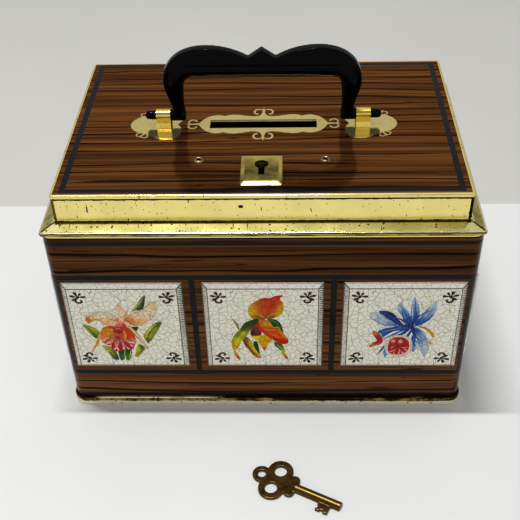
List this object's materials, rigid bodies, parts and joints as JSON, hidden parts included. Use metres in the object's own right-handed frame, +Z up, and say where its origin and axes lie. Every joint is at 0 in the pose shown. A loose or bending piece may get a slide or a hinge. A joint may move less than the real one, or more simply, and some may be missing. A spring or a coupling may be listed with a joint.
{
  "type": "lithographed tin cash box",
  "caption": "Hinged tinplate cash box with embossed printed sides, coin slot, folding carrying handle and a lid lock with a loose flat key.",
  "frame": {"origin": "centre of the underside of the base, on the surface the box stands on", "axes": "+Z up, +X along the long side to the right as seen from the front, -Y towards the front, where the lock and the loose key are"},
  "size_m": [0.1832, 0.1856, 0.1544],
  "materials": {
    "wall_print": "glossy lithographed wood print with printed tile panels on tinplate",
    "lid_print": "glossy lithographed wood print with gold lacquer skirt on tinplate",
    "gold_lacquer": "transparent gold lacquer over tinplate, with pinholes and scratches",
    "base_tin": "worn gold lacquer over tinplate, darkened along the seam",
    "brass": "plain pressed brass, lightly tarnished",
    "strap_brass": "bright polished brass strip",
    "brass_plate": "pressed brass plate with small pits",
    "eyelet_brass": "dull brass eyelets",
    "steel": "zinc-plated pressed steel",
    "black_plastic": "glossy black moulded plastic",
    "key_bronze": "dark bronzed steel with brass showing on the shank"
  },
  "bodies": {
    "box": {"body_wall": "wall_print", "bottom_panel": "base_tin", "shoulder_frame": "gold_lacquer", "lock_strike": "steel", "strike_rivets": "steel", "body_hinge_leaf_left": "brass", "body_hinge_leaf_right": "brass", "body_hinge_rivets": "brass", "hinge_pin_left": "steel", "hinge_pin_right": "steel"},
    "lid": {"lid_panel": "lid_print", "escutcheon": "brass_plate", "lock_plate": "steel", "lock_eyelets": "eyelet_brass", "lock_case": "steel", "lock_posts": "steel", "bolt_spring": "steel", "handle_strap_left": "strap_brass", "handle_strap_right": "strap_brass", "lid_hinge_leaf_left": "brass", "lid_hinge_leaf_right": "brass", "lid_hinge_rivets": "brass"},
    "bolt": {"lock_bolt": "brass"},
    "handle": {"handle": "black_plastic"},
    "key": {"key": "key_bronze"}
  },
  "joints": [
    {"name": "lid_hinge", "type": "hinge", "parent": "box", "child": "lid", "pos_m": [0, 0.05845, 0.1062], "axis": [-1, 0, 0], "range_deg": [0, 105]},
    {"name": "handle_fold", "type": "hinge", "parent": "lid", "child": "handle", "pos_m": [0, -0.002, 0.1222], "axis": [1, 0, 0], "range_deg": [-92, 92]},
    {"name": "bolt_slide", "type": "slide", "parent": "lid", "child": "bolt", "axis": [0, -1, 0], "range_m": [0, 0.0036]},
    {"name": "key_lift", "type": "slide", "parent": "box", "child": "key", "axis": [0, 0, 1], "range_m": [0, 0.06]}
  ]
}
